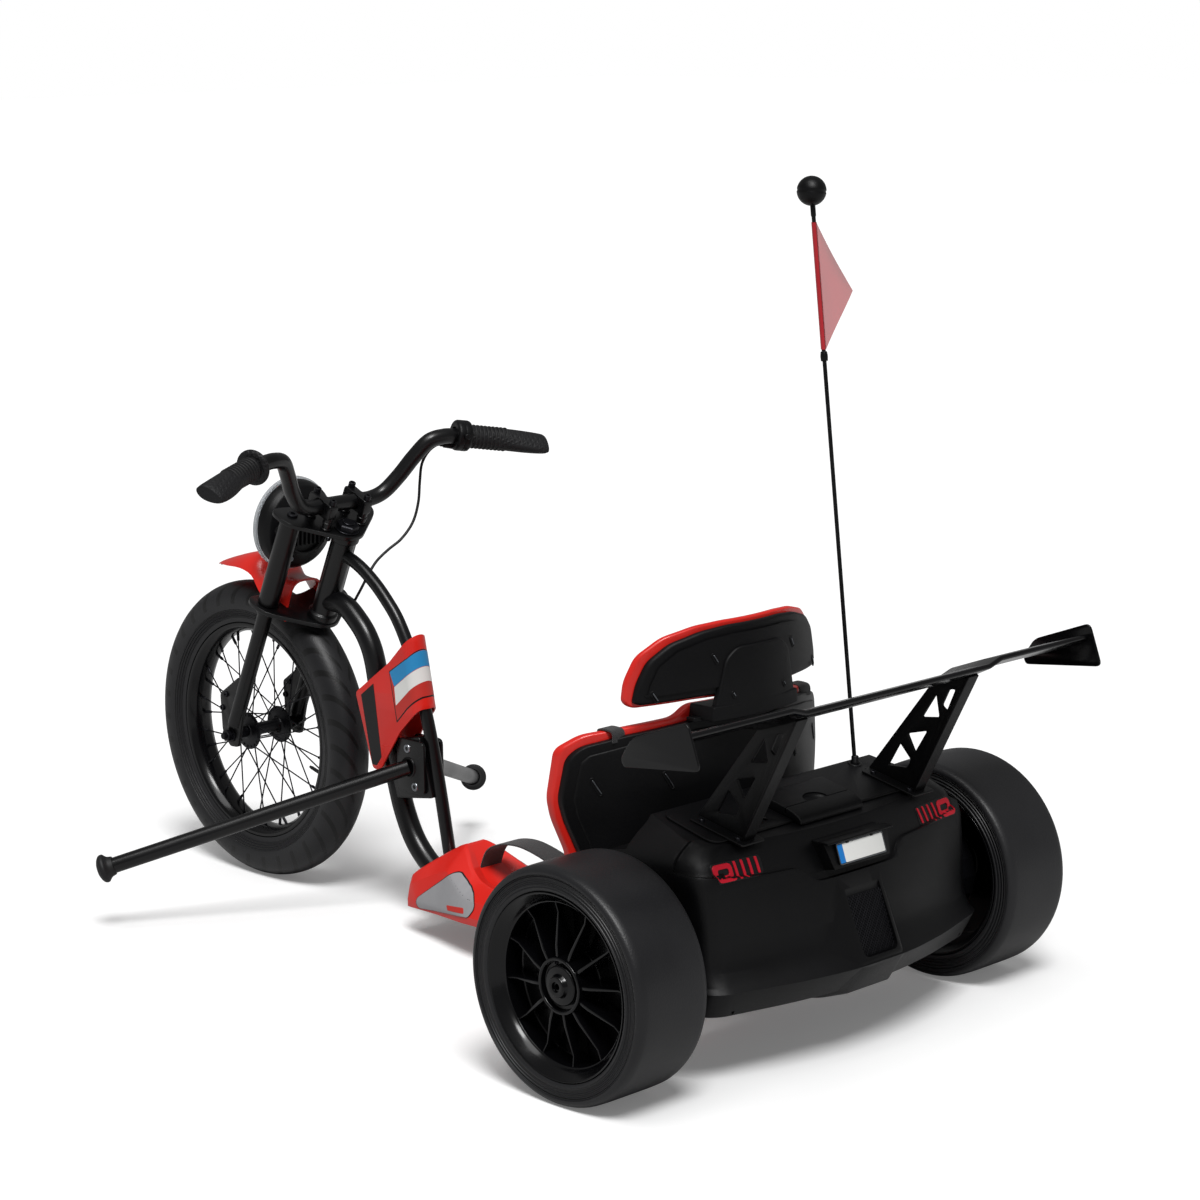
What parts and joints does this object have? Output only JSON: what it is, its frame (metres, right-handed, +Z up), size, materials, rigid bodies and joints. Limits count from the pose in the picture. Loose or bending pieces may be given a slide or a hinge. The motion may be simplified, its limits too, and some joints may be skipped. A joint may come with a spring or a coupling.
{
  "type": "electric drift trike",
  "caption": "Sit-down drift trike: raked fork with a fat spoked front wheel, two wide smooth rear wheels, low bucket seat, battery housing, wing and flag.",
  "frame": {"origin": "middle of the object's base on the ground, half way between its front and rear ends", "axes": "+X forward, +Y to the rider's left, +Z up"},
  "size_m": [1.4378, 0.776, 1.03],
  "materials": {
    "black_paint": "gloss black powder coat",
    "black_plastic": "satin black moulded plastic",
    "gloss_black": "gloss black",
    "red_plastic": "semi-gloss red moulded plastic",
    "red_lens": "clear red lens",
    "tyre": "satin black rubber",
    "grip": "matt black rubber",
    "webbing": "black woven webbing",
    "steel": "zinc-plated steel",
    "battery": "dark grey case",
    "lens": "clear lens",
    "pennant": "thin red flag cloth"
  },
  "bodies": {
    "chassis": {"main_frame": "black_paint", "frame_cable": "grip", "foot_peg_left": "black_paint", "peg_cap_left": "grip", "foot_peg_right": "black_paint", "peg_cap_right": "grip", "wrap_panel": "red_plastic", "motor_left": "black_paint", "motor_right": "black_paint", "rear_frame": "black_paint", "rear_axle": "steel", "battery": "battery", "nose_cover": "red_plastic", "seat_pan": "red_plastic", "back_shell": "red_plastic", "back_cover": "black_plastic", "headrest_cover": "black_plastic", "headrest_shell": "red_plastic", "belt_left": "webbing", "belt_right": "webbing", "belt_arch": "webbing", "rear_housing": "black_plastic", "deck_panel": "black_plastic", "plate_holder": "black_plastic", "lamp_left": "red_lens", "lamp_right": "red_lens", "wing_blade": "gloss_black", "wing_strut_left": "black_plastic", "wing_plate_left": "gloss_black", "wing_strut_right": "black_plastic", "wing_plate_right": "gloss_black", "flag_pole": "black_plastic", "flag_ball": "black_plastic", "flag_pennant": "pennant"},
    "steering": {"steerer": "steel", "lower_clamp": "black_paint", "upper_clamp": "black_paint", "fork_leg_left": "black_paint", "fork_leg_right": "black_paint", "handlebar": "black_paint", "bar_clamp_left": "black_paint", "bar_clamp_right": "black_paint", "grip_left": "grip", "throttle_housing": "black_plastic", "throttle_cable": "grip", "headlight_shell": "black_plastic", "headlight_lens": "lens", "front_fender": "red_plastic", "front_axle": "steel"},
    "front_wheel": {"front_tyre": "tyre", "front_rim": "gloss_black", "front_hub_and_spokes": "black_paint"},
    "throttle": {"throttle_grip": "grip"},
    "rear_wheel_left": {"rear_tyre_left": "tyre", "rear_rim_left": "gloss_black", "hub_cap_left": "gloss_black"},
    "rear_wheel_right": {"rear_tyre_right": "tyre", "rear_rim_right": "gloss_black", "hub_cap_right": "gloss_black"},
    "hatch": {"hatch_lid": "black_plastic"}
  },
  "joints": [
    {"name": "steering", "type": "hinge", "parent": "chassis", "child": "steering", "pos_m": [0.45529, 0, 0.19568], "axis": [-0.4147, 0, 0.91], "range_deg": [-40, 40]},
    {"name": "front_wheel_spin", "type": "hinge", "parent": "steering", "child": "front_wheel", "pos_m": [0.50206, 0, 0.217], "axis": [0, 1, 0], "continuous": true},
    {"name": "throttle_twist", "type": "hinge", "parent": "steering", "child": "throttle", "pos_m": [0.26745, -0.1724, 0.64912], "axis": [-0.3409, -0.9272, -0.1553], "range_deg": [0, 60], "stiffness_Nm_per_rad": 0.4, "springref_deg": -11.46},
    {"name": "rear_left_spin", "type": "hinge", "parent": "chassis", "child": "rear_wheel_left", "pos_m": [-0.50994, 0.332, 0.143], "axis": [0, 1, 0], "continuous": true},
    {"name": "rear_right_spin", "type": "hinge", "parent": "chassis", "child": "rear_wheel_right", "pos_m": [-0.50994, -0.332, 0.143], "axis": [0, 1, 0], "continuous": true},
    {"name": "hatch_lift", "type": "hinge", "parent": "chassis", "child": "hatch", "pos_m": [-0.52394, 0, 0.306], "axis": [0, 1, 0], "range_deg": [0, 75]}
  ]
}
